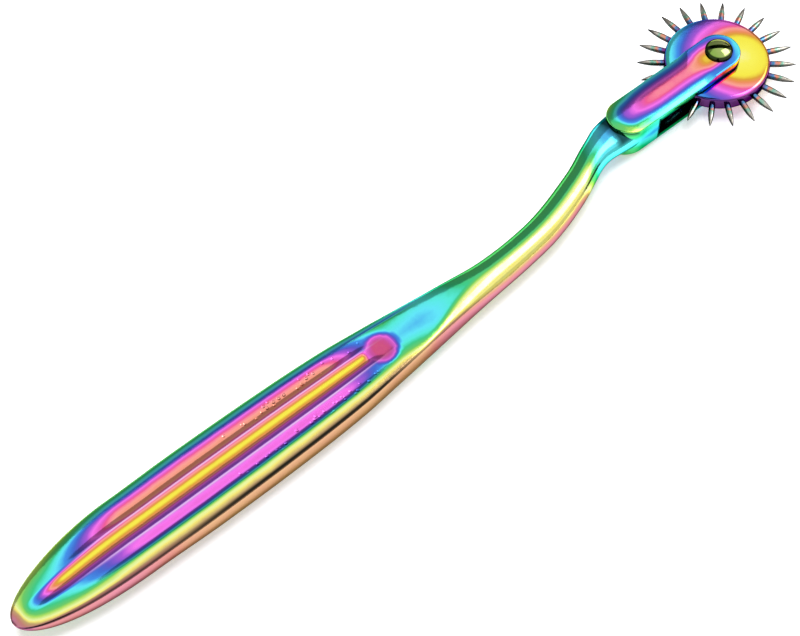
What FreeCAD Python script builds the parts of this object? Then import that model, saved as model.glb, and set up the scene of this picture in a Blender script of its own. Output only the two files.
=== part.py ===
import FreeCAD, Part
import math
import os

from FreeCAD import Vector

# Neurological pinwheel, in millimetres.
# The pivot axis is Z at X = Y = 0. Z = 0 is the flat underside of the fork, which the tool lies on.
# The handle runs along X, from its butt at the far -X end to the wheel, and is the same on both faces.

# Wheel
wheel_tip_diameter = 27.0
disc_diameter = 18.0
disc_rim_thickness = 2.0
disc_hub_thickness = 3.3
disc_hub_diameter = 6.4
disc_rim_chamfer = 0.2
disc_side_clearance = 0.15

# Spikes
spike_count = 22
spike_diameter = 1.05
spike_straight_length = 1.7
spike_socket_depth = 2.4
spike_socket_clearance = 0.01
spike_tip_diameter = 0.16

# Pivot screw
shank_diameter = 2.6
running_clearance = 0.05
tail_diameter = 2.0
thread_clearance = 0.01
head_diameter = 4.7
head_height = 1.2
head_edge_height = 0.3
driver_slot_width = 0.6
driver_slot_depth = 0.65
driver_slot_angle = -40.0

# Fork
fork_width = 7.4
arm_thickness = 1.6
fork_block_length = 7.7
wheel_end_clearance = 3.4
crown_drop = 0.55
crown_runout_radius = 8.0
pivot_seat_length = 4.0

# Neck
neck_side_offset = 8.3
neck_bend_radius = 76.0
fork_bend_radius = 20.0
neck_width_at_grip = 6.1
neck_thickness_at_grip = 5.45
neck_diameter = 5.0
neck_diameter_at_fork = 4.2
neck_root_overlap = 3.0
neck_squareness_at_fork = 2.2

# Grip
grip_length = 88.3
grip_width = 13.5
grip_thickness = 4.6
grip_squareness = 3.3
butt_length = 22.0
butt_width = 13.2
butt_thickness = 3.8

# Flutes and thumb dimple, alike on both faces
flute_depth = 0.5
centre_flute_start = 2.0
centre_flute_rise = 8.0
side_flute_start = 7.0
side_flute_rise = 16.0
side_flute_fade = 14.0
dimple_place_share = 0.795
dimple_radius = 3.8
dimple_depth = 1.05

# Spacing of the sections that the bar is lofted through, and the overrun shared by all cuts
butt_sections = 7
grip_section_step = 6.0
dimple_section_step = 1.3
neck_section_angle = 4.0
flute_points = 5
side_points = 5
overrun = 2.0
curve_tolerance = 1e-7

# Outline of the grip past the butt: shares of its length, of its width and of its thickness
grip_outline_shares = (
    (0.385, 1.0, 0.935),
    (0.566, 0.944, 1.0),
    (0.702, 0.852, 0.987),
    (0.795, 0.716, 0.99),
    (0.902, 0.575, 1.087),
)
# Outline of the neck on its long bend: shares of the bend's angle and of the neck's diameter, across and upright
neck_outline_shares = (
    (0.17, 1.09, 1.08),
    (0.36, 1.01, 1.07),
    (0.55, 0.97, 1.04),
    (0.8, 0.93, 0.95),
)
# Edges of the flutes: shares of the half width where the ridges and the outer edges stand
ridge_share = 0.27
outer_edge_share = 0.79
# First section of the butt, as a share of the step to the next: small enough to look closed
butt_tip_share = 0.08

# Worked out from the sizes above
tip_radius = wheel_tip_diameter / 2
disc_radius = disc_diameter / 2
fork_slot_width = disc_hub_thickness + 2 * disc_side_clearance
fork_thickness = fork_slot_width + 2 * arm_thickness
middle_height = fork_thickness / 2
slot_end_x = -(tip_radius + wheel_end_clearance)
fork_root_x = slot_end_x - fork_block_length
bend_angle = math.acos(1 - neck_side_offset / (neck_bend_radius + fork_bend_radius))
bend_end_x = fork_root_x + fork_width / 2 - neck_root_overlap
bend_middle_x = bend_end_x - fork_bend_radius * math.sin(bend_angle)
bend_start_x = bend_middle_x - neck_bend_radius * math.sin(bend_angle)
butt_x = bend_start_x - grip_length
dimple_from_butt = grip_length * dimple_place_share
axis_y = -neck_side_offset

X_AXIS = Vector(1, 0, 0)
Y_AXIS = Vector(0, 1, 0)
Z_AXIS = Vector(0, 0, 1)
CENTRE = Vector(0, 0, 0)
MIDDLE = Vector(0, 0, middle_height)


def between(low, high, share):
    """The size that lies a share of the way from low to high."""
    return low + (high - low) * share


def smooth_curve(points):
    """A smooth open curve through a few points, which all count as evenly spaced along it."""
    curve = Part.BSplineCurve()
    curve.interpolate(Points=points, Parameters=[float(step) for step in range(len(points))])
    return curve


def outline_curve(rows, column, full_size, length, start, at_start, at_end):
    """A width or thickness along a stretch of the bar, through its named ends and its rows of shares."""
    points = [Vector(start, at_start, 0)]
    for row in rows:
        points.append(Vector(length * row[0], full_size * row[column], 0))
    points.append(Vector(length, at_end, 0))
    return smooth_curve(points)


def height_at(curve, along):
    """The curve's Y where its X is the given length, by halving."""
    low = curve.FirstParameter
    high = curve.LastParameter
    while high - low > curve_tolerance:
        middle = (low + high) / 2
        if curve.value(middle).x < along:
            low = middle
        else:
            high = middle
    return curve.value(high).y


def grip_sizes(along):
    """Width and thickness of the grip at a distance from the butt."""
    if along < butt_length:
        bulge = math.sqrt(1 - (1 - along / butt_length) ** 2)
        return butt_width * bulge, butt_thickness * bulge
    rows = grip_outline_shares
    ends = ((butt_width, neck_width_at_grip), (butt_thickness, neck_thickness_at_grip))
    width_curve = outline_curve(rows, 1, grip_width, grip_length, butt_length, *ends[0])
    thickness_curve = outline_curve(rows, 2, grip_thickness, grip_length, butt_length, *ends[1])
    return height_at(width_curve, along), height_at(thickness_curve, along)


def neck_sizes(turn):
    """Width and thickness of the neck where the long bend has turned by an angle."""
    rows = neck_outline_shares
    across = outline_curve(rows, 1, neck_diameter, bend_angle, 0, neck_width_at_grip, neck_diameter_at_fork)
    upright = outline_curve(rows, 2, neck_diameter, bend_angle, 0, neck_thickness_at_grip, neck_diameter_at_fork)
    return height_at(across, turn), height_at(upright, turn)


def ramp(along, start, length):
    """Rises smoothly from 0 to 1 over a length."""
    share = min(max((along - start) / length, 0), 1)
    return share * share * (3 - 2 * share)


def flute_depths(along):
    """Depth of the centre flute and of the side flutes at a distance from the butt."""
    centre = ramp(along, centre_flute_start, centre_flute_rise)
    centre = centre * (1 - ramp(along, dimple_from_butt, dimple_radius))
    side = ramp(along, side_flute_start, side_flute_rise)
    side = side * (1 - ramp(along, dimple_from_butt + dimple_radius - side_flute_fade, side_flute_fade))
    return flute_depth * centre, flute_depth * side


def dimple_weight(along, aside):
    """1 in the middle of the thumb dimple, 0 from its rim outwards."""
    distance = math.hypot(along - dimple_from_butt, aside) / dimple_radius
    return (1 - min(distance, 1) ** 2) ** 2


def bar_section(centre, heading, width, thickness, squareness, along):
    """A squarish oval of eight curves, square to the heading, hollowed by the flutes and the dimple."""

    def placed(across, rise):
        aside = width / 2 * across
        return centre + Vector(-aside * math.sin(heading), aside * math.cos(heading), rise)

    centre_depth, side_depth = flute_depths(along)
    shares = (outer_edge_share, ridge_share, -ridge_share, -outer_edge_share)
    spans = list(zip(shares, shares[1:], (side_depth, centre_depth, side_depth)))
    side_turn = math.acos(outer_edge_share ** (squareness / 2))
    edges = []
    for face in (1, -1):
        for start, end, depth in spans:
            points = []
            for step in range(flute_points):
                share = step / (flute_points - 1)
                across = face * between(start, end, share)
                hollow = depth * math.sin(math.pi * share) ** 2
                hollow = between(hollow, dimple_depth, dimple_weight(along, width / 2 * across))
                rise = thickness / 2 * (1 - abs(across) ** squareness) ** (1 / squareness)
                points.append(placed(across, face * (rise - hollow)))
            edges.append(smooth_curve(points).toShape())
        points = []
        for step in range(side_points):
            turn = between(side_turn, -side_turn, step / (side_points - 1))
            across = -face * math.cos(turn) ** (2 / squareness)
            rise = thickness / 2 * abs(math.sin(turn)) ** (2 / squareness)
            hollow = dimple_depth * dimple_weight(along, width / 2 * across)
            points.append(placed(across, face * math.copysign(rise - hollow, turn)))
        edges.append(smooth_curve(points).toShape())
    return Part.Wire(edges)


def grip_stations():
    """Distances from the butt of the grip's sections, closer together round the butt and the dimple."""
    stations = []
    for step in range(butt_sections + 1):
        turn = math.pi / 2 * max(step, butt_tip_share) / butt_sections
        stations.append(butt_length * (1 - math.cos(turn)))
    dimple_start = dimple_from_butt - dimple_radius - dimple_section_step
    dimple_end = dimple_from_butt + dimple_radius + dimple_section_step
    for start, end, step_size in (
        (butt_length, dimple_start, grip_section_step),
        (dimple_start, dimple_end, dimple_section_step),
        (dimple_end, grip_length, grip_section_step),
    ):
        count = round((end - start) / step_size)
        for step in range(1, count + 1):
            stations.append(between(start, end, step / count))
    return stations


def grip_and_neck():
    """The forged bar from the butt to the fork, lofted through its sections."""
    sections = []
    # The straight grip
    for along in grip_stations():
        width, thickness = grip_sizes(along)
        centre = Vector(butt_x + along, axis_y, middle_height)
        sections.append(bar_section(centre, 0, width, thickness, grip_squareness, along))

    # The long bend towards the wheel's line
    steps = round(math.degrees(bend_angle) / neck_section_angle)
    for step in range(1, steps + 1):
        share = step / steps
        turn = bend_angle * share
        width, thickness = neck_sizes(turn)
        squareness = between(grip_squareness, neck_squareness_at_fork, share)
        aside = axis_y + neck_bend_radius * (1 - math.cos(turn))
        centre = Vector(bend_start_x + neck_bend_radius * math.sin(turn), aside, middle_height)
        sections.append(bar_section(centre, turn, width, thickness, squareness, grip_length))

    # The short bend back, which ends inside the fork
    end_sizes = (neck_diameter_at_fork, neck_diameter_at_fork, neck_squareness_at_fork, grip_length)
    steps = steps // 2
    for step in range(steps - 1, -1, -1):
        turn = bend_angle * step / steps
        aside = -fork_bend_radius * (1 - math.cos(turn))
        centre = Vector(bend_end_x - fork_bend_radius * math.sin(turn), aside, middle_height)
        sections.append(bar_section(centre, turn, *end_sizes))
    end = Vector(bend_end_x + neck_root_overlap, 0, middle_height)
    sections.append(bar_section(end, 0, *end_sizes))
    return Part.makeLoft(sections, True, True)


def stadium(centre_x, length, width, base_z, height):
    """A bar with round ends in plan; its -X end circle is at centre_x."""
    radius = width / 2
    block = Part.makeBox(length, width, height, Vector(centre_x, -radius, base_z))
    ends = [Part.makeCylinder(radius, height, Vector(x, 0, base_z)) for x in (centre_x, centre_x + length)]
    return block.fuse(ends).removeSplitter()


def crown_cutter():
    """What is ground off the fork's upper face: a crown across it that runs out before the pivot seat."""
    half_width = fork_width / 2
    crown_radius = (half_width ** 2 + crown_drop ** 2) / (2 * crown_drop)
    reach = half_width + overrun
    start_x = fork_root_x - overrun
    low_z = fork_thickness - crown_radius + math.sqrt(crown_radius ** 2 - reach ** 2)
    top_z = fork_thickness + overrun
    arc = Part.Arc(Vector(start_x, -reach, low_z), Vector(start_x, 0, fork_thickness), Vector(start_x, reach, low_z))
    sides = Part.makePolygon(
        [
            Vector(start_x, reach, low_z),
            Vector(start_x, reach, top_z),
            Vector(start_x, -reach, top_z),
            Vector(start_x, -reach, low_z),
        ]
    )
    profile = Part.Face(Part.Wire([arc.toShape()] + sides.Edges))
    runout_angle = math.acos(1 - crown_drop / crown_runout_radius)
    straight = -pivot_seat_length - crown_runout_radius * math.sin(runout_angle) - start_x
    bar = profile.extrude(Vector(straight, 0, 0))
    end = profile.translated(Vector(straight, 0, 0))
    axis_point = Vector(start_x + straight, 0, fork_thickness + crown_runout_radius)
    return bar, end.revolve(axis_point, Y_AXIS, -math.degrees(runout_angle))


def fork():
    """The closed fork: a block with a slot for the wheel, crowned faces and the pivot holes."""
    half_width = fork_width / 2
    root_centre_x = fork_root_x + half_width
    body = stadium(root_centre_x, -root_centre_x, fork_width, 0, fork_thickness)
    for cutter in crown_cutter():
        body = body.cut(cutter)
        body = body.cut(cutter.mirror(MIDDLE, Z_AXIS))
    return body


def fork_openings():
    """The wheel slot and the two pivot holes."""
    half_width = fork_width / 2
    slot = Part.makeBox(
        half_width - slot_end_x + overrun,
        fork_width + 2 * overrun,
        fork_slot_width,
        Vector(slot_end_x, -half_width - overrun, arm_thickness),
    )
    shank_hole = Part.makeCylinder(
        shank_diameter / 2 + running_clearance,
        arm_thickness + overrun,
        Vector(0, 0, fork_thickness - arm_thickness),
    )
    tail_hole = Part.makeCylinder(
        tail_diameter / 2 + thread_clearance,
        arm_thickness + overrun,
        Vector(0, 0, -overrun),
    )
    return [slot, shank_hole, tail_hole]


def handle():
    """Grip, neck and fork, forged in one piece."""
    return grip_and_neck().fuse(fork()).cut(fork_openings())


def wheel_disc():
    """The turned disc: domed faces, a straight rim, a bore and a ring of blind sockets."""
    bore_radius = shank_diameter / 2 + running_clearance
    half_hub = disc_hub_thickness / 2
    half_rim = disc_rim_thickness / 2
    bore_top = Vector(bore_radius, 0, half_hub)
    dome_start = Vector(disc_hub_diameter / 2, 0, half_hub)
    dome_end = Vector(disc_radius - disc_rim_chamfer, 0, half_rim)
    rim_top = Vector(disc_radius, 0, half_rim - disc_rim_chamfer)
    # Both faces are parts of a sphere whose centre is on the axis
    fall = half_hub - half_rim
    centre_z = half_hub - (dome_end.x ** 2 - dome_start.x ** 2 + fall ** 2) / (2 * fall)
    middle_x = between(dome_start.x, dome_end.x, 0.5)
    sphere_radius = math.hypot(dome_start.x, half_hub - centre_z)
    dome_middle = Vector(middle_x, 0, centre_z + math.sqrt(sphere_radius ** 2 - middle_x ** 2))
    upper = [
        Part.LineSegment(bore_top, dome_start).toShape(),
        Part.Arc(dome_start, dome_middle, dome_end).toShape(),
        Part.LineSegment(dome_end, rim_top).toShape(),
    ]
    lower = [edge.mirror(CENTRE, Z_AXIS) for edge in reversed(upper)]
    rim = Part.LineSegment(rim_top, Vector(rim_top.x, 0, -rim_top.z)).toShape()
    bore = Part.LineSegment(Vector(bore_radius, 0, -half_hub), bore_top).toShape()
    disc = Part.Face(Part.Wire(upper + [rim] + lower + [bore])).revolve(CENTRE, Z_AXIS, 360)
    sockets = []
    for number in range(spike_count):
        socket = Part.makeCylinder(
            spike_diameter / 2 + spike_socket_clearance,
            spike_socket_depth + overrun,
            Vector(disc_radius - spike_socket_depth, 0, 0),
            X_AXIS,
        )
        sockets.append(socket.rotate(CENTRE, Z_AXIS, spike_angle(number)))
    return disc.cut(sockets).translate(MIDDLE)


def spike_angle(number):
    """Direction of a spike in plan, in degrees; none stands on the handle's own line."""
    return 360 * (number + 0.5) / spike_count


def spike(number):
    """One hard pin: a cylinder ground to a long point, which is left a hair blunt."""
    radius = spike_diameter / 2
    foot_x = disc_radius - spike_socket_depth
    outline = [
        Vector(foot_x, 0, 0),
        Vector(foot_x, 0, radius),
        Vector(disc_radius + spike_straight_length, 0, radius),
        Vector(tip_radius, 0, spike_tip_diameter / 2),
        Vector(tip_radius, 0, 0),
        Vector(foot_x, 0, 0),
    ]
    pin = Part.Face(Part.makePolygon(outline)).revolve(CENTRE, X_AXIS, 360)
    return pin.rotate(CENTRE, Z_AXIS, spike_angle(number)).translate(MIDDLE)


def pivot_screw():
    """Dome-headed shoulder screw: slotted head, smooth shank for the wheel, thinner tail in the lower arm."""
    head_radius = head_diameter / 2
    dome_height = head_height - head_edge_height
    dome_radius = (head_radius ** 2 + dome_height ** 2) / (2 * dome_height)
    head = Part.makeCylinder(head_radius, head_height, Vector(0, 0, fork_thickness))
    dome = Part.makeSphere(dome_radius, Vector(0, 0, fork_thickness + head_height - dome_radius))
    shank = Part.makeCylinder(shank_diameter / 2, fork_thickness - arm_thickness, Vector(0, 0, arm_thickness))
    tail = Part.makeCylinder(tail_diameter / 2, fork_thickness)
    slot = Part.makeBox(
        head_diameter + 2 * overrun,
        driver_slot_width,
        driver_slot_depth + overrun,
        Vector(-head_radius - overrun, -driver_slot_width / 2, fork_thickness + head_height - driver_slot_depth),
    )
    slot.rotate(CENTRE, Z_AXIS, driver_slot_angle)
    return head.common(dome).fuse([shank, tail]).cut(slot)


pieces = {"handle": handle(), "wheel_disc": wheel_disc(), "pivot_screw": pivot_screw()}
for number in range(spike_count):
    pieces["spike_%02d" % (number + 1)] = spike(number)

os.makedirs("parts", exist_ok=True)
for name, shape in pieces.items():
    shape.exportStep("parts/%s.step" % name)
    print(name, "solids", len(shape.Solids), "valid", shape.isValid(), "volume", round(shape.Volume, 2))
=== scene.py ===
import math

import bmesh
import bpy
from mathutils import Matrix, Vector


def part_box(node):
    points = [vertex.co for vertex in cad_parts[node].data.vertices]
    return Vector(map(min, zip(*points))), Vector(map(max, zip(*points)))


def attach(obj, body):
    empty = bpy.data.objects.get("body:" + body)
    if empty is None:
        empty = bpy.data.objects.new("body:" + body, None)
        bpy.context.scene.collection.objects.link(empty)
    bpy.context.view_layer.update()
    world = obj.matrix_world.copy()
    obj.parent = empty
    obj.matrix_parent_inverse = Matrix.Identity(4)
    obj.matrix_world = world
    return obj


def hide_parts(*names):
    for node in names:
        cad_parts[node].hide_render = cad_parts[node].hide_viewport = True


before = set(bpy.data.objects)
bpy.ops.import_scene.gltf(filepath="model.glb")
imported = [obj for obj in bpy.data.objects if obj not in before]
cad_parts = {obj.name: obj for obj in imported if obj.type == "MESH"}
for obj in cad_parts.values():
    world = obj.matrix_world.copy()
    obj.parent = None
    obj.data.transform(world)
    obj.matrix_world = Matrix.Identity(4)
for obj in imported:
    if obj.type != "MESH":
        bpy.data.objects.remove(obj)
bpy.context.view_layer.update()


# Camera.
# It stands beyond the butt on the near side and looks down on the tool, so that the handle climbs the
# picture to the wheel.
mm = 0.001
camera_lens = 100
camera_sensor = 36
camera_azimuth = math.radians(-40.06)
camera_elevation = math.radians(57.495)
camera_distance = 350.8 * mm
camera_aim = Vector((-74.33, -4.66, 3.4)) * mm

camera_data = bpy.data.cameras.new("camera")
camera_data.lens = camera_lens
camera_data.sensor_width = camera_sensor
camera = bpy.data.objects.new("camera", camera_data)
camera_back = Vector(
    (
        math.sin(camera_azimuth) * math.cos(camera_elevation),
        -math.cos(camera_azimuth) * math.cos(camera_elevation),
        math.sin(camera_elevation),
    )
)
camera.location = camera_aim + camera_distance * camera_back
camera.rotation_euler = (-camera_back).to_track_quat("-Z", "Y").to_euler()
bpy.context.collection.objects.link(camera)
bpy.context.scene.camera = camera


# Grip and neck.
# One forged stainless steel bar, flat and fluted at the butt and round at the neck, bent twice in plan on
# its way to the fork. It is polished and then coated in a vacuum, which gives it the colours.
handle_low, handle_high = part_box("handle")
fork_half_width = handle_high.y
fork_thickness = handle_high.z - handle_low.z
middle_z = (handle_high.z + handle_low.z) / 2
grip_axis_y = -8.3 * mm
grip_length = 88.3 * mm
neck_bend_radius = 76 * mm
fork_bend_radius = 20 * mm
bend_angle = math.acos(1 + grip_axis_y / (neck_bend_radius + fork_bend_radius))
long_bend_end = grip_length + neck_bend_radius * bend_angle
short_bend_end = long_bend_end + fork_bend_radius * bend_angle
bar_length = short_bend_end + 4.5 * mm
butt_length = 22 * mm
butt_half_width = 6.6 * mm
butt_half_thickness = 1.9 * mm
butt_shift = -0.55 * mm
# Distance from the butt, half width, half thickness and shift of the centre towards the far side, all in
# millimetres. The first row stands inside the butt, so that the outline leaves its end level.
bar_outline = (
    (10, 6.75, 2.15, 0),
    (22, 6.6, 1.9, 0),
    (34, 6.75, 2.15, 0),
    (50, 6.55, 2.3, 0.05),
    (62, 6.05, 2.27, 0.12),
    (70.2, 5.2, 2.28, 0.2),
    (79.6, 4.15, 2.5, 0.2),
    (88.3, 3.35, 2.72, 0.25),
    (93.7, 3.0, 2.72, 0.15),
    (99.8, 2.8, 2.67, -0.1),
    (105.8, 2.75, 2.6, -0.4),
    (113.8, 2.65, 2.4, -0.4),
    (120, 2.45, 2.2, -0.35),
    (124, 2.7, 2.2, -0.2),
    (127, 3.3, 2.35, -0.05),
    (130, 3.62, 2.75, 0),
    (133.5, 3.68, 3.0, 0),
)
grip_squareness = 6
neck_squareness = 2
dimple_place = 70.2 * mm
dimple_radius = 3.6 * mm
dimple_depth = 0.2 * mm
flute_depth = 0.28 * mm
# Where each of these changes starts, from the butt, and the length that it takes
neck_rounding = (68 * mm, 26 * mm)
centre_flute = (2 * mm, 8 * mm)
side_flute = (7 * mm, 16 * mm)
side_flute_fade = 14 * mm
# Shares of the half width: the ridge beside the centre flute, the side flute's outer edge and the face's
ridge_share = 0.27
flute_edge_share = 0.67
outer_edge_share = 0.79
face_steps = 48
side_steps = 12
ring_steps = 2 * (face_steps + side_steps)
butt_stations = 26
butt_first_step = 0.3
station_step = 0.75 * mm


def between(low, high, share):
    return low + (high - low) * share


def ramp(place, start, length):
    """Rises smoothly from 0 to 1 over a length."""
    share = min(max((place - start) / length, 0), 1)
    return share * share * (3 - 2 * share)


def smooth_row(rows, place):
    """The values at a place, on smooth curves through the values of the rows."""
    index = 1
    while index < len(rows) - 1 and place > rows[index][0]:
        index += 1
    before = rows[max(index - 2, 0)]
    start, end = rows[index - 1], rows[index]
    after = rows[min(index + 1, len(rows) - 1)]
    span = end[0] - start[0]
    share = min(max((place - start[0]) / span, 0), 1)
    values = []
    for column in range(1, len(start)):
        slope_in = (end[column] - before[column]) / (end[0] - before[0]) * span
        slope_out = (after[column] - start[column]) / (after[0] - start[0]) * span
        rise = end[column] - start[column]
        bend = (1 - share) * (slope_in - rise) + share * (rise - slope_out)
        values.append(start[column] + rise * share + share * (1 - share) * bend)
    return values


def bar_size(along):
    """Half width, half thickness, squareness and shift of the bar at a distance from the butt."""
    squareness = between(grip_squareness, neck_squareness, ramp(along, *neck_rounding))
    if along < butt_length:
        bulge = math.sqrt(1 - (1 - along / butt_length) ** 2)
        shift = butt_shift * (1 - ramp(along, 0, butt_length))
        return butt_half_width * bulge, butt_half_thickness * bulge, squareness, shift
    half_width, half_thickness, shift = smooth_row(bar_outline, along / mm)
    return half_width * mm, half_thickness * mm, squareness, shift * mm


def bar_centre(along):
    """Centre of the bar and its heading at a distance from the butt."""
    bend_start_x = handle_low.x + grip_length
    bend_middle_x = bend_start_x + neck_bend_radius * math.sin(bend_angle)
    bend_end_x = bend_middle_x + fork_bend_radius * math.sin(bend_angle)
    if along < grip_length:
        return Vector((handle_low.x + along, grip_axis_y, middle_z)), 0
    if along < long_bend_end:
        turn = (along - grip_length) / neck_bend_radius
        x = bend_start_x + neck_bend_radius * math.sin(turn)
        y = grip_axis_y + neck_bend_radius * (1 - math.cos(turn))
        return Vector((x, y, middle_z)), turn
    if along < short_bend_end:
        turn = (short_bend_end - along) / fork_bend_radius
        x = bend_end_x - fork_bend_radius * math.sin(turn)
        return Vector((x, -fork_bend_radius * (1 - math.cos(turn)), middle_z)), turn
    return Vector((bend_end_x + along - short_bend_end, 0, middle_z)), 0


def flute_depths(along):
    """Depth of the centre flute and of the side flutes."""
    centre = ramp(along, *centre_flute) * (1 - ramp(along, dimple_place, dimple_radius))
    side_end = dimple_place + dimple_radius - side_flute_fade
    side = ramp(along, *side_flute) * (1 - ramp(along, side_end, side_flute_fade))
    return flute_depth * centre, flute_depth * side


def dimple_weight(along, aside):
    distance = math.hypot(along - dimple_place, aside) / dimple_radius
    return (1 - min(distance, 1) ** 2) ** 2


def bar_point(along, step):
    """Place of one point of the bar, its distance from the middle, and the half width there.

    Steps count round the section, over the upper face first.
    """
    half_width, half_thickness, squareness, shift = bar_size(along)
    half_ring = face_steps + side_steps
    face = 1 if step < half_ring else -1
    step = step % half_ring
    hollow = 0
    if step <= face_steps:
        across = between(outer_edge_share, -outer_edge_share, step / face_steps)
        rise = (1 - abs(across) ** squareness) ** (1 / squareness)
        centre_depth, side_depth = flute_depths(along)
        if abs(across) < ridge_share:
            hollow = centre_depth * math.cos(math.pi / 2 * across / ridge_share) ** 2
        else:
            share = min((abs(across) - ridge_share) / (flute_edge_share - ridge_share), 1)
            hollow = side_depth * math.sin(math.pi * share) ** 2
    else:
        side_turn = math.acos(outer_edge_share ** (squareness / 2))
        turn = between(side_turn, -side_turn, (step - face_steps) / side_steps)
        across = -math.cos(turn) ** (2 / squareness)
        rise = math.copysign(abs(math.sin(turn)) ** (2 / squareness), turn)
    aside = face * across * half_width
    hollow = between(hollow, dimple_depth, dimple_weight(along, aside))
    rise = face * (rise * half_thickness - math.copysign(hollow, rise))
    centre, heading = bar_centre(along)
    across = aside + shift
    place = centre + Vector((-across * math.sin(heading), across * math.cos(heading), rise))
    return place, aside, half_width


# The coating's colour follows a phase that grows with its thickness. In all that follows on the phase,
# lengths are in millimetres, and a pair is where a change starts and the length that it takes.
# Distance from the grip's middle where it is widest, towards the far side, and phase:
grip_rows = (
    (-6.75, 1.1),
    (-5.7, 1.05),
    (-5.1, 0.985),
    (-4.75, 0.96),
    (-4.3, 0.78),
    (-3.8, 0.5),
    (-3.1, 0.31),
    (-2.2, 0.31),
    (-1.6, 0.37),
    (-1.0, 0.33),
    (-0.5, 0.14),
    (0.1, 0.06),
    (0.45, 0.0),
    (0.8, 0.0),
    (1.1, 0.09),
    (1.5, 0.2),
    (1.9, 0.26),
    (2.5, 0.15),
    (3.2, 0.15),
    (3.8, 0.19),
    (4.5, 0.3),
    (5.0, 0.47),
    (5.4, 0.63),
    (6.1, 0.78),
    (6.75, 0.9),
)
grip_rows_half_width = 6.75
side_stripes_across = (0.2, 0.14)
border_across = (0.68, 0.1)
border_along = (10, 14)
near_border_rise = 0.12
near_border_across = (-0.93, 0.06)
near_border_along = (14, 18)
# The plain bar, which has its own colours where no flute runs
plain_phase = 0.62
edge_rise = 0.46
edge_reach = 2.35
edge_fall_power = 1.7
edge_blend_power = 3
edge_least = 0.02
far_edge_loss = 0.14
far_edge_width = (0, 3)
near_edge_phase = 0.985
near_edge_rise = 0.07
near_edge_width = (0.5, 0.7)
butt_end = 0.4
butt_end_rise = 0.15
butt_end_reach = 1.6
# The thumb dimple, measured from its middle
dimple_phase = 0.222
dimple_rim_rise = 0.2
dimple_rim_radius = 2.9
dimple_rim_power = 4
dimple_colour_end = (2.2, 1.2)
# The neck, from its start at the dimple to the fork, and its paler band on the near side
neck_along = (71, 12)
neck_change_along = (74, 18)
neck_phases = (0.58, 0.78)
neck_far_rise = 0.07
neck_near_rise = 0.2
neck_near_width = 0.2
band_phase = 1.0
band_ends = (-1.1, -0.3)
band_width = 0.45
root_along = 118
root_slant = 6
root_length = 9
root_phases = (0.6, 0.68)


def plain_coat(along, aside, half_width):
    """Phase on the plain bar, where the coating thickens towards every edge."""
    from_side = max(half_width - abs(aside), edge_least)
    from_end = max(along - butt_end, edge_least)
    from_edge = from_side ** -edge_blend_power + from_end ** -edge_blend_power
    from_edge = from_edge ** (-1 / edge_blend_power)
    rise = edge_rise if aside < 0 else edge_rise - far_edge_loss * ramp(aside, *far_edge_width)
    phase = plain_phase + rise * math.exp(-((from_edge / edge_reach) ** edge_fall_power))
    if aside < 0:
        most = near_edge_phase + near_edge_rise * (1 - ramp(from_edge, *near_edge_width))
        phase = min(phase, most)
    return phase + butt_end_rise * math.exp(-((along / butt_end_reach) ** 2))


def neck_coat(along, across):
    """Phase on the neck at a share of its half width."""
    change = ramp(along, *neck_change_along)
    phase = between(*neck_phases, change) + neck_far_rise * max(across, 0)
    phase = between(phase, band_phase, 1 - ramp(across, between(*band_ends, change), band_width))
    return phase + neck_near_rise * (1 - ramp(across, -1, neck_near_width))


def bar_coat(along, aside, half_width):
    """Phase of the coating at a place on the bar."""
    along, aside, half_width = along / mm, aside / mm, half_width / mm
    across = aside / half_width
    phase = plain_coat(along, aside, half_width)

    # The stripes of the flutes
    centre_flute_share, side_flute_share = [depth / flute_depth for depth in flute_depths(along * mm)]
    striped = between(centre_flute_share, side_flute_share, ramp(abs(across), *side_stripes_across))
    striped = max(striped, ramp(abs(across), *border_across) * ramp(along, *border_along))
    phase = between(phase, smooth_row(grip_rows, across * grip_rows_half_width)[0], striped)
    near_border = (1 - ramp(along, *near_border_along)) * (1 - ramp(across, *near_border_across))
    phase += near_border_rise * near_border

    # The dimple, the neck and the root of the fork
    from_dimple = math.hypot(along - dimple_place / mm, aside)
    to_rim = min(from_dimple / dimple_rim_radius, 1) ** dimple_rim_power
    in_dimple = 1 - ramp(from_dimple, *dimple_colour_end)
    phase = between(phase, dimple_phase + dimple_rim_rise * to_rim, in_dimple)
    phase = between(phase, neck_coat(along, across), ramp(along, *neck_along))
    at_fork = ramp(along, root_along + root_slant * min(across, 0), root_length)
    return between(phase, between(*root_phases, abs(across)), at_fork)


# Where the metal is pitted along the side flutes, and a pale painted highlight along their ridges
pit_line = 3.3 * mm
pit_line_reach = 0.8 * mm
pit_line_power = 0.7
pits_start = (34 * mm, 14 * mm)
pits_end = (66 * mm, 4 * mm)
crest_highlight = 0.8
crest_highlight_width = 0.02
# Painted shade on the bar, 0 to 1, that darkens the coating: on the far side's steep faces, as a dark painted
# reflection line along the near edge, on the underside, under the pad's lip and in the dimple. The pairs are
# over parts of the normal or over lengths.
far_side_shade = 0.93
far_side_tilt = (0.45, 0.35)
near_line_dark_reflection = 0.97
near_line_start = (0.32, 0.1)
near_line_end = (0.74, 0.1)
near_line_tilt = (0, 0.2)
near_line_along = (66 * mm, 10 * mm)
underside_shade = 0.5
underside_tilt = (0.1, 0.3)
underside_near = (0.3, 0.3)
under_lip_shade = 0.9
under_lip_x = (-26.2 * mm, 1.6 * mm)
under_lip_tilt = (0.45, 0.3)
dimple_shade = 0.28
dimple_shade_end = (1.6 * mm, 1.4 * mm)
dimple_shade_tilt = (0.3, 0.3)


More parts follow.
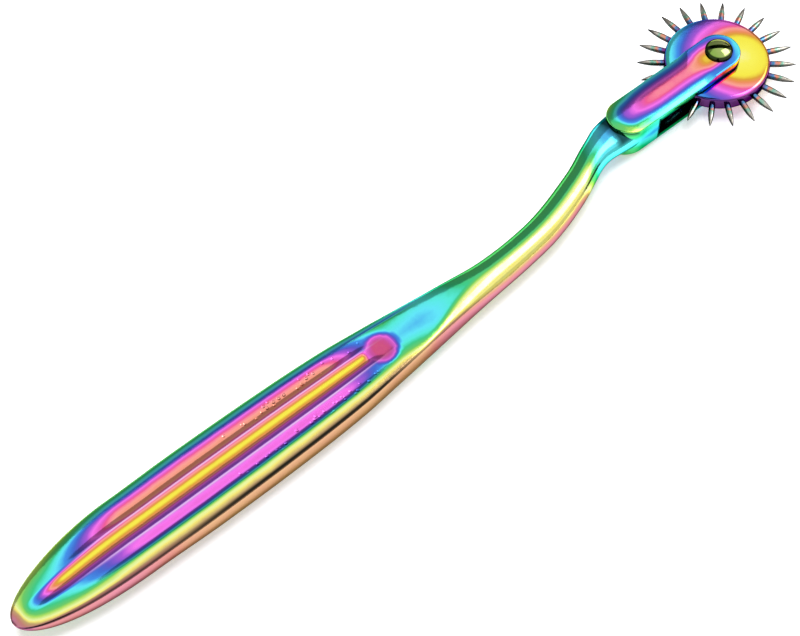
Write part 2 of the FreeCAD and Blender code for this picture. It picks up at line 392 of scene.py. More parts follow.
def bar_painted_shade(place, normal, aside):
    """Painted shade that darkens the coating: on the far side, a dark painted reflection along the near
    edge, below, under the pad's lip and in the dimple.
    """
    far_side = 1 - ramp(abs(normal.z), *far_side_tilt) if aside > 0 else 0
    near_line = ramp(-normal.y, *near_line_start) * (1 - ramp(-normal.y, *near_line_end))
    near_line *= ramp(normal.z, *near_line_tilt)
    near_line *= 1 - ramp(place.x - handle_low.x, *near_line_along)
    underside = ramp(-normal.z, *underside_tilt) * ramp(-normal.y, *underside_near)
    under_lip = ramp(place.x, *under_lip_x) * ramp(normal.z, *under_lip_tilt)
    from_dimple = (place.xy - Vector((handle_low.x + dimple_place, grip_axis_y))).length
    in_dimple = (1 - ramp(from_dimple, *dimple_shade_end)) * ramp(normal.z, *dimple_shade_tilt)
    return max(
        far_side_shade * far_side,
        near_line_dark_reflection * near_line,
        underside_shade * underside,
        under_lip_shade * under_lip,
        dimple_shade * in_dimple,
    )


# A line of vertices is spun to a tube, whose vertices then go to their places on the bar
stations = []
for step in range(butt_stations):
    turn = math.pi / 2 * max(step, butt_first_step) / butt_stations
    stations.append(butt_length * (1 - math.cos(turn)))
straight_steps = round((bar_length - butt_length) / station_step)
for step in range(straight_steps + 1):
    stations.append(between(butt_length, bar_length, step / straight_steps))
bar = bmesh.new()
bar_end = bmesh.ops.create_vert(bar, co=(0, 1, 0))["vert"]
for station in range(1, len(stations)):
    bar_end = bmesh.ops.extrude_vert_indiv(bar, verts=bar_end)["verts"]
    bmesh.ops.translate(bar, verts=bar_end, vec=(1, 0, 0))
bmesh.ops.spin(
    bar,
    geom=bar.verts[:] + bar.edges[:],
    cent=(0, 0, 0),
    axis=(1, 0, 0),
    angle=2 * math.pi,
    steps=ring_steps,
    use_merge=True,
)
coat_layer = bar.verts.layers.float.new("coat")
pitted_layer = bar.verts.layers.float.new("pitted")
ridge_highlight_layer = bar.verts.layers.float.new("ridge_highlight")
darkening_layer = bar.verts.layers.float.new("darkening")
for vert in bar.verts:
    turn = math.atan2(vert.co.z, vert.co.y) % (2 * math.pi)
    step = round(turn / (2 * math.pi) * ring_steps) % ring_steps
    along = stations[round(vert.co.x)]
    vert.co, aside, half_width = bar_point(along, step)
    vert[coat_layer] = bar_coat(along, aside, half_width)
    from_pit_line = (abs(aside) - pit_line) / pit_line_reach
    pitted = max(0, 1 - from_pit_line ** 2) ** pit_line_power
    vert[pitted_layer] = pitted * ramp(along, *pits_start) * (1 - ramp(along, *pits_end))
    from_crest = (abs(aside) / half_width - ridge_share) / crest_highlight_width
    side_flute_share = flute_depths(along)[1] / flute_depth
    vert[ridge_highlight_layer] = crest_highlight * math.exp(-(from_crest ** 2)) * side_flute_share
    vert[darkening_layer] = aside
end_edges = [edge for edge in bar.edges if edge.is_boundary]
bmesh.ops.holes_fill(bar, edges=end_edges, sides=ring_steps)
bmesh.ops.recalc_face_normals(bar, faces=bar.faces)
bar.normal_update()
# The darkening layer has held each vertex's distance from the middle until the normals are there; then it
# takes the painted shade
for vert in bar.verts:
    vert[darkening_layer] = bar_painted_shade(vert.co, vert.normal, vert[darkening_layer])


def finished_piece(name, shape, smooth_angle):
    """A piece with smooth faces, creased where they meet at more than an angle."""
    for face in shape.faces:
        face.smooth = True
    for edge in shape.edges:
        edge.smooth = edge.calc_face_angle(0) < smooth_angle
    mesh = bpy.data.meshes.new(name)
    shape.to_mesh(mesh)
    shape.free()
    piece = bpy.data.objects.new(name, mesh)
    bpy.context.collection.objects.link(piece)
    return piece


def linear(red, green, blue):
    """A colour of the screen, 0 to 255, as light."""
    light = []
    for value in (red, green, blue):
        value /= 255
        light.append(value / 12.92 if value <= 0.04045 else ((value + 0.055) / 1.055) ** 2.4)
    return (*light, 1)


noise_span = (-0.25, 0.25)


class Nodes:
    """Adds and links the nodes of one material."""

    def __init__(self, name):
        self.material = bpy.data.materials.new(name)
        self.material.use_nodes = True
        self.tree = self.material.node_tree
        self.shader = self.tree.nodes["Principled BSDF"]

    def add(self, kind, **settings):
        node = self.tree.nodes.new(kind)
        for name, value in settings.items():
            setattr(node, name, value)
        return node

    def link(self, output, socket):
        self.tree.links.new(output, socket)

    def attribute(self, name):
        return self.add("ShaderNodeAttribute", attribute_name=name).outputs["Fac"]

    def math(self, operation, *values):
        """One step of arithmetic on outputs or numbers."""
        node = self.add("ShaderNodeMath", operation=operation)
        for socket, value in zip(node.inputs, values):
            if isinstance(value, bpy.types.NodeSocket):
                self.link(value, socket)
            else:
                socket.default_value = value
        return node.outputs[0]

    def mapped(self, value, source, target, **settings):
        """The value, brought from one span to another."""
        node = self.add("ShaderNodeMapRange", **settings)
        limits = (*source, *target)
        for name, limit in zip(("From Min", "From Max", "To Min", "To Max"), limits):
            node.inputs[name].default_value = limit
        self.link(value, node.inputs["Value"])
        return node.outputs["Result"]

    def noise(self, scale, detail, stretch=(1, 1, 1)):
        """Noise about 0 on Object coordinates; scale counts its spots in a millimetre."""
        coordinates = self.add("ShaderNodeTexCoord")
        mapping = self.add("ShaderNodeMapping")
        mapping.inputs["Scale"].default_value = stretch
        self.link(coordinates.outputs["Object"], mapping.inputs["Vector"])
        noise = self.add("ShaderNodeTexNoise")
        noise.inputs["Scale"].default_value = scale / mm
        noise.inputs["Detail"].default_value = detail
        self.link(mapping.outputs["Vector"], noise.inputs["Vector"])
        return self.math("SUBTRACT", noise.outputs["Fac"], 0.5)

    def coloured(self, share, colours):
        """The colour at a share of the way through a row of colours, each with its own share."""
        node = self.add("ShaderNodeValToRGB")
        stops = node.color_ramp.elements
        while len(stops) < len(colours):
            stops.new(0.5)
        for stop, (place, *colour) in zip(stops, colours):
            stop.position = place
        for stop, (place, *colour) in zip(stops, colours):
            stop.color = linear(*colour)
        self.link(share, node.inputs["Fac"])
        return node.outputs["Color"]

    def mixed(self, colour, other, name):
        """The colour, mixed with another one by the attribute of a name."""
        node = self.add("ShaderNodeMix", data_type="RGBA")
        self.link(self.attribute(name), node.inputs["Factor"])
        self.link(colour, node.inputs["A"])
        node.inputs["B"].default_value = other
        return node.outputs["Result"]

    def metal(self, colour, edge_tint, smears, polish, height, bump_height):
        """Makes the shader a metal of a colour, its roughness smeared and its surface uneven."""
        self.link(colour, self.shader.inputs["Base Color"])
        self.shader.inputs["Metallic"].default_value = 1
        self.shader.inputs["Specular Tint"].default_value = edge_tint
        self.link(self.mapped(smears, noise_span, polish), self.shader.inputs["Roughness"])
        bump = self.add("ShaderNodeBump")
        bump.inputs["Strength"].default_value = 1
        bump.inputs["Distance"].default_value = bump_height
        self.link(height, bump.inputs["Height"])
        self.link(bump.outputs["Normal"], self.shader.inputs["Normal"])


# Phase and colour of the coating as it thickens
coat_colours = (
    (-0.15, 252, 252, 215),
    (-0.08, 252, 246, 95),
    (0.0, 250, 238, 75),
    (0.06, 225, 165, 60),
    (0.11, 240, 145, 95),
    (0.17, 254, 166, 150),
    (0.2, 252, 135, 160),
    (0.225, 242, 95, 150),
    (0.26, 232, 100, 200),
    (0.31, 253, 120, 240),
    (0.37, 170, 90, 215),
    (0.45, 100, 90, 200),
    (0.5, 70, 110, 210),
    (0.58, 70, 150, 235),
    (0.65, 100, 235, 250),
    (0.7, 90, 240, 220),
    (0.76, 65, 205, 135),
    (0.85, 110, 205, 105),
    (0.9, 178, 228, 100),
    (0.975, 240, 252, 165),
    (1.01, 250, 236, 120),
    (1.06, 196, 165, 112),
    (1.15, 195, 130, 120),
    (1.25, 200, 125, 160),
)
coat_first = coat_colours[0][0]
coat_last = coat_colours[-1][0]
# The pale colour of the painted highlight on the ridges
ridge_highlight_colour = linear(250, 225, 250)
# The near-black that painted shade mixes the coating towards
darkening_colour = (0.004, 0.008, 0.008, 1)
coat_edge_tint = (0.25, 0.28, 0.25, 1)
# Each noise has its spots in a millimetre and its detail; the shares are of the one named before them
cloud_noise = (0.25, 3)
fleck_noise = (1.6, 2)
fleck_share = 0.4
smear_noise = (0.8, 4)
swell_noise = (0.5, 3)
grain_noise = (3, 3)
grain_share = 0.15
pits_in_mm = 1.0
pit_slope = (0.12, 0.34)
pit_share = 6


def coated_steel(name, cloud, polish, grain, bump_height):
    """Polished steel under the coating, whose colour follows the piece's coat attribute."""
    nodes = Nodes(name)
    phase = nodes.attribute("coat")
    phase = nodes.math("MULTIPLY_ADD", nodes.noise(*cloud_noise), cloud, phase)
    phase = nodes.math("MULTIPLY_ADD", nodes.noise(*fleck_noise), cloud * fleck_share, phase)
    shares = [(place - coat_first) / (coat_last - coat_first) for place, *colour in coat_colours]
    colours = [(share, *colour) for share, (place, *colour) in zip(shares, coat_colours)]
    colour = nodes.coloured(nodes.mapped(phase, (coat_first, coat_last), (0, 1)), colours)
    # Painted highlight along the ridges
    colour = nodes.mixed(colour, ridge_highlight_colour, "ridge_highlight")
    # Painted shade from the darkening attribute; on the screw head it is an even darker tone instead
    colour = nodes.mixed(colour, darkening_colour, "darkening")

    swell = nodes.noise(*swell_noise)
    height = nodes.math("MULTIPLY_ADD", nodes.noise(*grain_noise, grain), grain_share, swell)
    pits = nodes.add("ShaderNodeTexVoronoi")
    pits.inputs["Scale"].default_value = pits_in_mm / mm
    nodes.link(nodes.add("ShaderNodeTexCoord").outputs["Object"], pits.inputs["Vector"])
    pit = nodes.mapped(pits.outputs["Distance"], pit_slope, (-1, 0), interpolation_type="SMOOTHSTEP")
    pit = nodes.math("MULTIPLY", pit, nodes.attribute("pitted"))
    height = nodes.math("MULTIPLY_ADD", pit, pit_share, height)
    nodes.metal(colour, coat_edge_tint, nodes.noise(*smear_noise), polish, height, bump_height)
    return nodes.material


handle_coat = coated_steel("handle_coat", 0.04, (0.09, 0.16), (0.1, 1, 1), 0.02 * mm)
handle_bar = finished_piece("handle_bar", bar, math.radians(50))
handle_bar.data.materials.append(handle_coat)
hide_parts("handle")
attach(handle_bar, "handle")


# Fork.
# The end of the same forging: a block with round ends, ground to a shallow crown across its upper and lower
# faces and slotted for the wheel, with a flat seat round the pivot. Its edges are only broken.
arm_thickness = 1.6 * mm
shank_hole_radius = 1.35 * mm
tail_hole_radius = 1.01 * mm
slot_end_x = -16.9 * mm
root_x = -24.6 * mm
crown_drop = 0.55 * mm
crown_runout_radius = 8 * mm
pivot_seat = 4 * mm
edge_round = 0.28 * mm
edge_steps = 4
plan_segments = 72
column_step = 0.35 * mm
root_steps = 10
root_centre_x = root_x + fork_half_width
inner_half_width = fork_half_width - edge_round
seat_ring_radii = (1.8 * mm, 2.3 * mm, 2.7 * mm, 3.1 * mm, inner_half_width)
pad_top = middle_z + fork_thickness / 2
slot_top = pad_top - arm_thickness
small = 1e-7
hole_reach = shank_hole_radius + small


def crown_fall(x, y):
    """How far the ground crown lies below the flat seat."""
    radius = (fork_half_width ** 2 + crown_drop ** 2) / (2 * crown_drop)
    fall = radius - math.sqrt(radius ** 2 - y ** 2)
    runout_length = math.sqrt(crown_runout_radius ** 2 - (crown_runout_radius - crown_drop) ** 2)
    past = x - (-pivot_seat - runout_length)
    if past > 0:
        past = min(past, crown_runout_radius)
        fall -= crown_runout_radius - math.sqrt(crown_runout_radius ** 2 - past ** 2)
    return max(fall, 0)


def outward(place):
    """The nearest point of the fork's centre line in plan, and the direction from it to a place."""
    spine = Vector((min(max(place.x, root_centre_x), 0), 0, 0))
    return spine, (Vector((place.x, place.y, 0)) - spine).normalized()


def of_kind(items, kind):
    return [item for item in items if isinstance(item, kind)]


def extruded(shape, edges):
    """Extrudes a chain of edges in place and returns the new vertices and the new chain."""
    made = bmesh.ops.extrude_edge_only(shape, edges=edges)["geom"]
    verts = of_kind(made, bmesh.types.BMVert)
    fresh = set(verts)
    chain = [
        edge
        for edge in of_kind(made, bmesh.types.BMEdge)
        if edge.verts[0] in fresh and edge.verts[1] in fresh
    ]
    return verts, chain


fork = bmesh.new()
bmesh.ops.create_circle(fork, segments=plan_segments, radius=shank_hole_radius)
chain = fork.edges[:]
# The pad's round end, in rings about the pivot
for radius in seat_ring_radii:
    verts, chain = extruded(fork, chain)
    for vert in verts:
        vert.co = vert.co.normalized() * radius
# The rest of the pad, in columns from the round end to the root
columns = [-pivot_seat]
for start_x, end_x in ((-pivot_seat, slot_end_x), (slot_end_x, root_centre_x)):
    count = round((start_x - end_x) / column_step)
    for step in range(count):
        columns.append(between(start_x, end_x, (step + 1) / count))
chain = [edge for edge in chain if max(vert.co.x for vert in edge.verts) < small]
for x in columns:
    verts, chain = extruded(fork, chain)
    for vert in verts:
        vert.co.x = x
for step in range(root_steps):
    verts, chain = extruded(fork, chain)
    for vert in verts:
        half_chord = math.sqrt(max(inner_half_width ** 2 - vert.co.y ** 2, 0))
        turn = math.pi / 2 * (step + 1) / root_steps
        vert.co.x = root_centre_x - half_chord * math.sin(turn)
bmesh.ops.remove_doubles(fork, verts=fork.verts, dist=small)
for vert in fork.verts:
    vert.co.z = pad_top - crown_fall(vert.co.x, vert.co.y)
# The arm's lower face: a flat copy of the pad at the top of the slot
lower = bmesh.ops.duplicate(fork, geom=fork.faces[:])["geom"]
lower_verts = set(of_kind(lower, bmesh.types.BMVert))
for vert in lower_verts:
    vert.co.z = slot_top
bmesh.ops.reverse_faces(fork, faces=of_kind(lower, bmesh.types.BMFace))
upper_hole = []
upper_rim = []
lower_rim = []
for edge in [edge for edge in fork.edges if edge.is_boundary]:
    at_hole = edge.verts[0].co.xy.length < hole_reach
    if edge.verts[0] not in lower_verts:
        (upper_hole if at_hole else upper_rim).append(edge)
    elif not at_hole:
        lower_rim.append(edge)
# The hole's wall, then the broken edge and the wall below it, and the lower face brought out to them
verts, chain = extruded(fork, upper_hole)
for vert in verts:
    vert.co.z = slot_top
chain = upper_rim
for step in range(edge_steps):
    verts, chain = extruded(fork, chain)
    turn = math.pi / 2 * (step + 1) / edge_steps
    for vert in verts:
        spine, direction = outward(vert.co)
        place = spine + direction * (inner_half_width + edge_round * math.sin(turn))
        top = pad_top - crown_fall(place.x, inner_half_width * direction.y)
        vert.co = (place.x, place.y, top - edge_round * (1 - math.cos(turn)))
verts, chain = extruded(fork, chain)
for vert in verts:
    vert.co.z = slot_top
verts, chain = extruded(fork, lower_rim)
for vert in verts:
    spine, direction = outward(vert.co)
    place = spine + direction * fork_half_width
    vert.co = (place.x, place.y, slot_top)
bmesh.ops.remove_doubles(fork, verts=fork.verts, dist=small)
bmesh.ops.recalc_face_normals(fork, faces=fork.faces)
# The block behind the slot reaches down to the middle, and the lower half mirrors the upper
block = [
    face
    for face in fork.faces
    if face.calc_center_median().x < slot_end_x
    and max(vert.co.z for vert in face.verts) < slot_top + small
]
made = bmesh.ops.extrude_face_region(fork, geom=block)["geom"]
made_verts = of_kind(made, bmesh.types.BMVert)
bmesh.ops.translate(fork, verts=made_verts, vec=(0, 0, middle_z - slot_top))
bmesh.ops.delete(fork, geom=of_kind(made, bmesh.types.BMFace), context="FACES")
bmesh.ops.mirror(
    fork,
    geom=fork.verts[:] + fork.edges[:] + fork.faces[:],
    matrix=Matrix.Translation((0, 0, -middle_z)),
    axis="Z",
    merge_dist=small,
)
bmesh.ops.remove_doubles(fork, verts=fork.verts, dist=small)
for vert in fork.verts:
    if vert.co.z < middle_z and vert.co.xy.length < hole_reach:
        vert.co.xy = vert.co.xy.normalized() * tail_hole_radius
bmesh.ops.recalc_face_normals(fork, faces=fork.faces)

# Phase of the coating, by x in millimetres along the middle of the pad
pad_middle_rows = (
    (-24.6, 0.3),
    (-22.5, 0.41),
    (-20, 0.33),
    (-17, 0.23),
    (-14, 0.2),
    (-8, 0.2),
    (-5, 0.14),
    (-3, 0.03),
    (1, 0.12),
    (3.7, 0.2),
)
# The same, by the distance from the pad's edge, on its far side and on its near side
pad_rim_rows = (
    (0, 0.74, 0.74),
    (0.2, 0.68, 0.7),
    (0.6, 0.62, 0.67),
    (1.1, 0.53, 0.64),
    (1.7, 0.4, 0.42),
    (2.4, 0.28, 0.29),
    (3.1, 0.21, 0.21),
    (3.7, 0.2, 0.2),
)
# The same, by x along the fork's sides
side_rows = (
    (-24.6, 0.66),
    (-22, 0.66),
    (-19, 0.6),
    (-17, 0.6),
    (-13, 0.66),
    (-9, 0.62),
    (-7, 0.5),
    (-5, 0.3),
    (-3, 0.1),
    (0, -0.05),
    (3.7, -0.05),
)
# A pair is where a change starts and its length, for y and x in millimetres as in the rows
far_rim_y = (-1, 2)
side_height_rise = 0.05
side_height_end_x = (-9, 6)
pad_tilt = (0.3, 0.5)
# Painted shade: inside the slot, and in the recess under the pad's lip at the root
slot_shade = 0.85
lip_shade = 0.9
lip_back = (19.5 * mm, 1.5 * mm)
lip_facing = (0.1, 0.2)
lip_height = (middle_z, 0.8 * mm)
lip_tilt = (0.1, 0.2)


def fork_coat(place, normal):
    """Phase on the fork: the coating thickens from the middle of the pad to its outline."""
    spine, direction = outward(place)
    from_spine = (Vector((place.x, place.y, 0)) - spine).length
    x = place.x / mm
    far_rim, near_rim = smooth_row(pad_rim_rows, max(fork_half_width - from_spine, 0) / mm)
    rim = between(near_rim, far_rim, ramp(place.y / mm, *far_rim_y))
    top = smooth_row(pad_middle_rows, x)[0] + rim - pad_rim_rows[-1][1]
    height_rise = side_height_rise * abs(place.z - middle_z) / mm
    side = smooth_row(side_rows, x)[0] + height_rise * (1 - ramp(x, *side_height_end_x))
    return between(side, top, ramp(abs(normal.z), *pad_tilt))


def fork_painted_shade(place, normal):
    """Painted shade that darkens the coating: in the slot, and under the lip of the pad at the root."""
    if abs(place.z - middle_z) < slot_top - middle_z + small and place.x > slot_end_x - small:
        return slot_shade
    under_lip = ramp(-place.x, *lip_back) * ramp(-normal.x, *lip_facing)
    return lip_shade * under_lip * ramp(place.z, *lip_height) * (1 - ramp(normal.z, *lip_tilt))


coat_layer = fork.verts.layers.float.new("coat")
darkening_layer = fork.verts.layers.float.new("darkening")
fork.normal_update()
for vert in fork.verts:
    vert[coat_layer] = fork_coat(vert.co, vert.normal)
    vert[darkening_layer] = fork_painted_shade(vert.co, vert.normal)
handle_fork = finished_piece("handle_fork", fork, math.radians(40))
handle_fork.data.materials.append(handle_coat)
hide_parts("handle")
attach(handle_fork, "handle")


# Wheel disc.
# A turned steel disc with domed faces, a flat hub between the fork's arms and a narrow rim that the pins are
# pressed into. It has the same coating as the handle.
disc_low, disc_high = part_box("wheel_disc")
disc_radius = disc_high.y
hub_half = (disc_high.z - disc_low.z) / 2
rim_half = 0.65 * mm
hub_radius = 3.2 * mm
bore_radius = 1.35 * mm
disc_dome_radius = 8.1 * mm
disc_dome_fall = 0.15 * mm
disc_turn_steps = 160
disc_dome_steps = 20
disc_edge_steps = 8
disc_colour_centre = Vector((3.15, -2.46, 0)) * mm
# Distance from the colours' centre in millimetres and phase of the coating
disc_rows = (
    (0, -0.1),
    (2, -0.07),
    (3.2, -0.03),
    (4.3, 0.01),
    (5.3, 0.09),
    (6, 0.15),
    (7, 0.24),
    (8, 0.3),
    (9, 0.38),
    (10, 0.46),
    (10.7, 0.56),
    (11.6, 0.63),
    (12.5, 0.7),
)
rim_phase = 0.35
# Painted shade on the rim wall below the disc's edge
rim_shade = 0.86
rim_start = (disc_radius - 0.35 * mm, 0.3 * mm)


def turned(profile, steps, centre, axis):
    """A closed turned shape from the points of its half outline."""
    shape = bmesh.new()
    chain = []
    for place in profile:
        chain.append(shape.verts.new(place))
    for start, end in zip(chain, chain[1:]):
        shape.edges.new((start, end))
    bmesh.ops.spin(
        shape,
        geom=shape.verts[:] + shape.edges[:],
        cent=centre,
        axis=axis,
        angle=2 * math.pi,
        steps=steps,
        use_merge=True,
    )
    bmesh.ops.remove_doubles(shape, verts=shape.verts, dist=small)
    bmesh.ops.recalc_face_normals(shape, faces=shape.faces)
    return shape


upper_profile = [(bore_radius, hub_half), (0.5 * (bore_radius + hub_radius), hub_half)]
for step in range(disc_dome_steps + 1):
    share = step / disc_dome_steps
    radius = between(hub_radius, disc_dome_radius, share)
    upper_profile.append((radius, hub_half - disc_dome_fall * share ** 2))
edge_drop = hub_half - disc_dome_fall - rim_half
for step in range(1, disc_edge_steps + 1):
    turn = math.pi / 2 * step / disc_edge_steps
    radius = between(disc_dome_radius, disc_radius, math.sin(turn))
    upper_profile.append((radius, rim_half + edge_drop * math.cos(turn)))
disc_profile = [Vector((radius, 0, middle_z + z)) for radius, z in upper_profile]
disc_profile += [Vector((radius, 0, middle_z - z)) for radius, z in reversed(upper_profile)]
disc_profile.append(disc_profile[0])
disc = turned(disc_profile, disc_turn_steps, (0, 0, 0), (0, 0, 1))
coat_layer = disc.verts.layers.float.new("coat")
darkening_layer = disc.verts.layers.float.new("darkening")
for vert in disc.verts:
    distance = (Vector((vert.co.x, vert.co.y, 0)) - disc_colour_centre).length / mm
    on_rim = ramp(vert.co.xy.length, *rim_start)
    vert[coat_layer] = between(smooth_row(disc_rows, distance)[0], rim_phase, on_rim)
    vert[darkening_layer] = rim_shade * on_rim
disc_coat = coated_steel("disc_coat", 0.04, (0.06, 0.13), (1, 1, 1), 0.015 * mm)
wheel_face = finished_piece("wheel_face", disc, math.radians(35))
wheel_face.data.materials.append(disc_coat)
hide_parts("wheel_disc")
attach(wheel_face, "wheel")


# Spikes.
# Twenty-two pins of hard steel, ground to long points and pressed into the rim. The coating takes only thinly
# on their ground faces, so they stay silver with a trace of colour at the foot.
spike_count = 22
spike_first = 0.5
spike_radius = 0.525 * mm
spike_foot = 8 * mm
spike_shoulder = 10.5 * mm
spike_tip = disc_radius + 4.49 * mm
spike_turn_steps = 24
spike_point_steps = 10
spike_point_curve = 1.8
spike_point_radius = 0.08 * mm
# Share of the way from the rim to the point, and colour
needle_tints = (
    (0.0, 130, 65, 135),
    (0.15, 70, 155, 205),
    (0.28, 242, 150, 120),
    (0.42, 120, 195, 170),
    (0.58, 205, 198, 185),
    (1.0, 92, 94, 90),
)
needle_cloud = 0.5
needle_cloud_noise = (0.9, 2)
needle_smear_noise = (2, 3)
needle_grain_noise = (4, 3)
needle_polish = (0.06, 0.14)
needle_bump_height = 0.01 * mm
# Painted shade: the pins' flanks, where the faces turn sideways, go near-black
needle_shade_colour = (0.02, 0.025, 0.025, 1)
needle_edge_tint = (0.12, 0.13, 0.12, 1)
flank_shade = 0.9
flank_tilt = (0.4, 0.4)

needle = Nodes("needle_steel")
needle_clouds = needle.noise(*needle_cloud_noise)
needle_phase = needle.math("MULTIPLY_ADD", needle_clouds, needle_cloud, needle.attribute("coat"))
needle_colour = needle.coloured(needle_phase, needle_tints)
needle.metal(
    needle.mixed(needle_colour, needle_shade_colour, "darkening"),
    needle_edge_tint,
    needle.noise(*needle_smear_noise),
    needle_polish,
    needle.noise(*needle_grain_noise),
    needle_bump_height,
)

spike_profile = [
    Vector((spike_foot, 0, middle_z)),
    Vector((spike_foot, spike_radius, middle_z)),
    Vector((disc_radius, spike_radius, middle_z)),
]
for step in range(spike_point_steps + 1):
    share = step / spike_point_steps
    radius = between(spike_radius, spike_point_radius, share ** spike_point_curve)
    spike_profile.append(Vector((between(spike_shoulder, spike_tip, share), radius, middle_z)))
spike_profile.append(Vector((spike_tip, 0, middle_z)))
for number in range(spike_count):
    pin = turned(spike_profile, spike_turn_steps, (0, 0, middle_z), (1, 0, 0))
    pin.normal_update()
    coat_layer = pin.verts.layers.float.new("coat")
    darkening_layer = pin.verts.layers.float.new("darkening")
    for vert in pin.verts:
        to_tip = (vert.co.x - disc_radius) / (spike_tip - disc_radius)
        vert[coat_layer] = min(max(to_tip, 0), 1)
        vert[darkening_layer] = flank_shade * (1 - ramp(abs(vert.normal.z), *flank_tilt))
    turn = 2 * math.pi * (number + spike_first) / spike_count
    bmesh.ops.rotate(pin, verts=pin.verts, cent=(0, 0, 0), matrix=Matrix.Rotation(turn, 3, "Z"))
    spike = finished_piece("pin_%02d" % (number + 1), pin, math.radians(50))
    spike.data.materials.append(needle.material)
    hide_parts("spike_%02d" % (number + 1))
    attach(spike, "wheel")


# Pivot screw.
# A dome-headed shoulder screw with one driver slot, turned from steel rod. Its shank is the wheel's axle and
# its thinner tail is screwed into the lower arm.
screw_low, screw_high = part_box("pivot_screw")
head_radius = 2.35 * mm
head_edge = 0.3 * mm
shank_radius = 1.3 * mm
tail_radius = 1 * mm
driver_slot_half = 0.4 * mm
driver_slot_depth = 0.65 * mm
driver_slot_turn = math.radians(-40)
head_steps = 16
screw_turn_steps = 96
head_top = screw_high.z
dome_height = head_top - pad_top - head_edge
head_dome = (head_radius ** 2 + dome_height ** 2) / (2 * dome_height)
slot_floor = head_top - driver_slot_depth
screw_phase = 0.95
screw_phase_rise = 0.06
# The rest of the screw gets an even darker tone; the driver slot gets painted shade
head_dull = 0.45
driver_slot_shade = 0.95

screw_profile = []
for step in range(head_steps + 1):
    radius = head_radius * step / head_steps
    dome_z = head_top - head_dome + math.sqrt(head_dome ** 2 - radius ** 2)
    screw_profile.append(Vector((radius, 0, dome_z)))
screw_profile += [
    Vector((head_radius, 0, pad_top)),
    Vector((shank_radius, 0, pad_top)),
    Vector((shank_radius, 0, arm_thickness)),
    Vector((tail_radius, 0, arm_thickness)),
    Vector((tail_radius, 0, screw_low.z)),
    Vector((0, 0, screw_low.z)),
]
screw = turned(screw_profile, screw_turn_steps, (0, 0, 0), (0, 0, 1))
for place, normal in (
    ((0, driver_slot_half, 0), (0, 1, 0)),
    ((0, -driver_slot_half, 0), (0, 1, 0)),
    ((0, 0, slot_floor), (0, 0, 1)),
):
    bmesh.ops.bisect_plane(
        screw,
        geom=screw.verts[:] + screw.edges[:] + screw.faces[:],
        plane_co=place,
        plane_no=normal,
        dist=small,
    )
cut_away = []
for face in screw.faces:
    middle = face.calc_center_median()
    if abs(middle.y) < driver_slot_half and middle.z > slot_floor:
        cut_away.append(face)
bmesh.ops.delete(screw, geom=cut_away, context="FACES")
verts, chain = extruded(screw, [edge for edge in screw.edges if edge.is_boundary])
for vert in verts:
    vert.co.z = slot_floor
bmesh.ops.remove_doubles(screw, verts=screw.verts, dist=small)
open_edges = [edge for edge in screw.edges if edge.is_boundary]
bmesh.ops.holes_fill(screw, edges=open_edges, sides=len(open_edges))
bmesh.ops.dissolve_degenerate(screw, edges=screw.edges, dist=small)
slot_rotation = Matrix.Rotation(driver_slot_turn, 3, "Z")
bmesh.ops.rotate(screw, verts=screw.verts, cent=(0, 0, 0), matrix=slot_rotation)
bmesh.ops.recalc_face_normals(screw, faces=screw.faces)
coat_layer = screw.verts.layers.float.new("coat")
darkening_layer = screw.verts.layers.float.new("darkening")
for vert in screw.verts:
    vert[coat_layer] = screw_phase + screw_phase_rise * vert.co.x / head_radius
    in_slot = pad_top <= vert.co.z <= slot_floor + small
    vert[darkening_layer] = driver_slot_shade if in_slot else head_dull
screw_coat = coated_steel("screw_coat", 0.08, (0.08, 0.16), (1, 1, 1), 0.015 * mm)
axle_screw = finished_piece("axle_screw", screw, math.radians(35))
axle_screw.data.materials.append(screw_coat)
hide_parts("pivot_screw")
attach(axle_screw, "handle")


# Studio.
# A white table under a large soft lamp that hangs a little beyond the tool. Only the metal mirrors the rest:
# a grey card beyond the tool, a black edge and a light grey card on the near side, a bright strip overhead
# and a low dark wall all round.
studio_middle = Vector((-75, -4, 0)) * mm
card_distance = 600 * mm
wall_radius = 1200 * mm
wall_height = 300 * mm
wall_segments = 64
wall_tone = (0.02, 0.02, 0.025)
floor_size = 3
floor_gap = 0.05 * mm
floor_colour = (0.8, 0.8, 0.815, 1)
floor_roughness = 0.9
floor_lift = 0.33
lamp_width = 650 * mm
lamp_depth = 450 * mm
lamp_energy = 8.5
lamp_height = 800 * mm
lamp_tilt = math.radians(9)
lamp_ahead = 0.1
sky_colour = (0.985, 0.975, 1, 1)
sky_light = 0.6
sky_seen = 1


def stage_piece(name, shape, material):
    piece = finished_piece(name, shape, math.pi)
    piece.data.materials.append(material)
    return piece


def glow(name, tone):
    material = bpy.data.materials.new(name)
    material.use_nodes = True
    tree = material.node_tree
    tree.nodes.clear()
    output = tree.nodes.new("ShaderNodeOutputMaterial")
    emission = tree.nodes.new("ShaderNodeEmission")
    emission.inputs["Color"].default_value = (*tone, 1)
    emission.inputs["Strength"].default_value = 1
    tree.links.new(emission.outputs[0], output.inputs["Surface"])
    return material


def mirrored_only(piece):
    """Only the metal's reflections show this piece."""
    piece.visible_camera = False
    piece.visible_diffuse = False
    piece.visible_shadow = False
    piece.visible_transmission = False


def card(name, tilts, reach, tone):
    """A card beside the tool, between two tilts from upright towards the near side, in degrees."""
    shape = bmesh.new()
    bmesh.ops.create_grid(shape, x_segments=1, y_segments=1, size=1)
    for vert in shape.verts:
        tilt = math.radians(tilts[0] if vert.co.y < 0 else tilts[1])
        x = reach[0] if vert.co.x < 0 else reach[1]
        aside = Vector((x, -card_distance * math.sin(tilt), card_distance * math.cos(tilt)))
        vert.co = studio_middle + aside
    mirrored_only(stage_piece(name, shape, glow(name, (tone, tone, tone))))


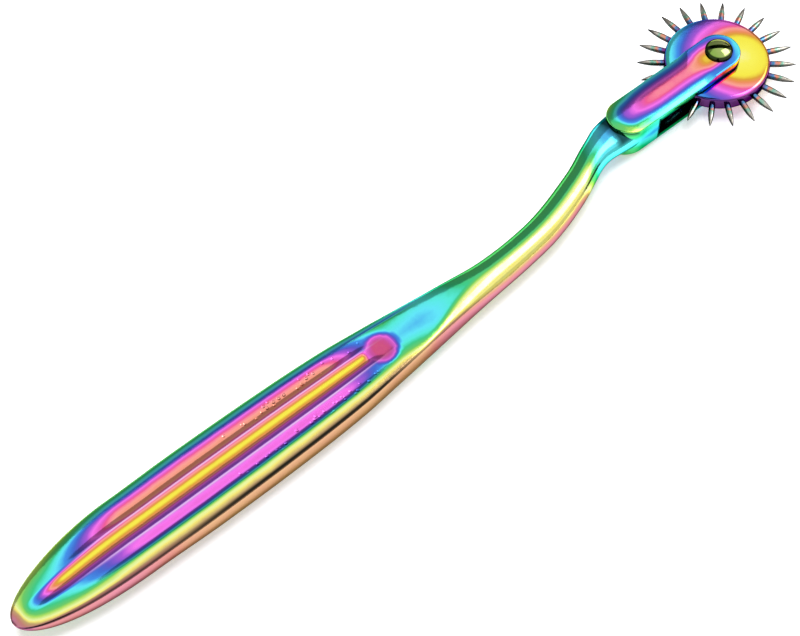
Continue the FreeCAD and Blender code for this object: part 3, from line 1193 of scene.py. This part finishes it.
card("far_card", (-90, -35), (-1400 * mm, 1400 * mm), 0.36)
card("black_edge", (22, 42), (-1000 * mm, -150 * mm), 0.01)
card("near_card", (60, 88), (-900 * mm, 900 * mm), 0.68)
card("bright_strip", (0, 34), (260 * mm, 900 * mm), 4)

wall_shape = bmesh.new()
bmesh.ops.create_circle(wall_shape, segments=wall_segments, radius=wall_radius)
verts, chain = extruded(wall_shape, wall_shape.edges[:])
bmesh.ops.translate(wall_shape, verts=verts, vec=(0, 0, wall_height))
mirrored_only(stage_piece("dark_room", wall_shape, glow("dark_room", wall_tone)))

floor_shape = bmesh.new()
bmesh.ops.create_grid(floor_shape, x_segments=1, y_segments=1, size=floor_size)
bmesh.ops.translate(floor_shape, verts=floor_shape.verts, vec=(0, 0, -floor_gap))
table = Nodes("table_white")
table.shader.inputs["Base Color"].default_value = floor_colour
table.shader.inputs["Roughness"].default_value = floor_roughness
table.shader.inputs["Specular IOR Level"].default_value = 0
table.shader.inputs["Emission Color"].default_value = (1, 1, 1, 1)
seen = table.add("ShaderNodeLightPath").outputs
seen_or_mirrored = table.math("MAXIMUM", seen["Is Camera Ray"], seen["Is Glossy Ray"])
table_lift = table.math("MULTIPLY", seen_or_mirrored, floor_lift)
table.link(table_lift, table.shader.inputs["Emission Strength"])
stage_piece("table", floor_shape, table.material)

lamp_data = bpy.data.lights.new("soft_lamp", "AREA")
lamp_data.shape = "RECTANGLE"
lamp_data.size = lamp_width
lamp_data.size_y = lamp_depth
lamp_data.energy = lamp_energy
lamp = bpy.data.objects.new("soft_lamp", lamp_data)
lamp.location = studio_middle + lamp_height * Vector((lamp_ahead, math.tan(lamp_tilt), 1))
lamp.rotation_euler = (studio_middle - lamp.location).to_track_quat("-Z", "Y").to_euler()
lamp.visible_glossy = False
bpy.context.collection.objects.link(lamp)

# The world is brighter to the camera and in the metal than as light on the table
world = bpy.data.worlds.new("studio")
bpy.context.scene.world = world
world.use_nodes = True
sky = world.node_tree
background = sky.nodes["Background"]
background.inputs["Color"].default_value = sky_colour
path = sky.nodes.new("ShaderNodeLightPath")
brightest = path.outputs["Is Camera Ray"]
for ray in ("Is Glossy Ray", "Is Transmission Ray"):
    either = sky.nodes.new("ShaderNodeMath")
    either.operation = "MAXIMUM"
    sky.links.new(brightest, either.inputs[0])
    sky.links.new(path.outputs[ray], either.inputs[1])
    brightest = either.outputs[0]
strength = sky.nodes.new("ShaderNodeMapRange")
strength.inputs["To Min"].default_value = sky_light
strength.inputs["To Max"].default_value = sky_seen
sky.links.new(brightest, strength.inputs["Value"])
sky.links.new(strength.outputs["Result"], background.inputs["Strength"])

bpy.context.scene.view_settings.view_transform = "Standard"
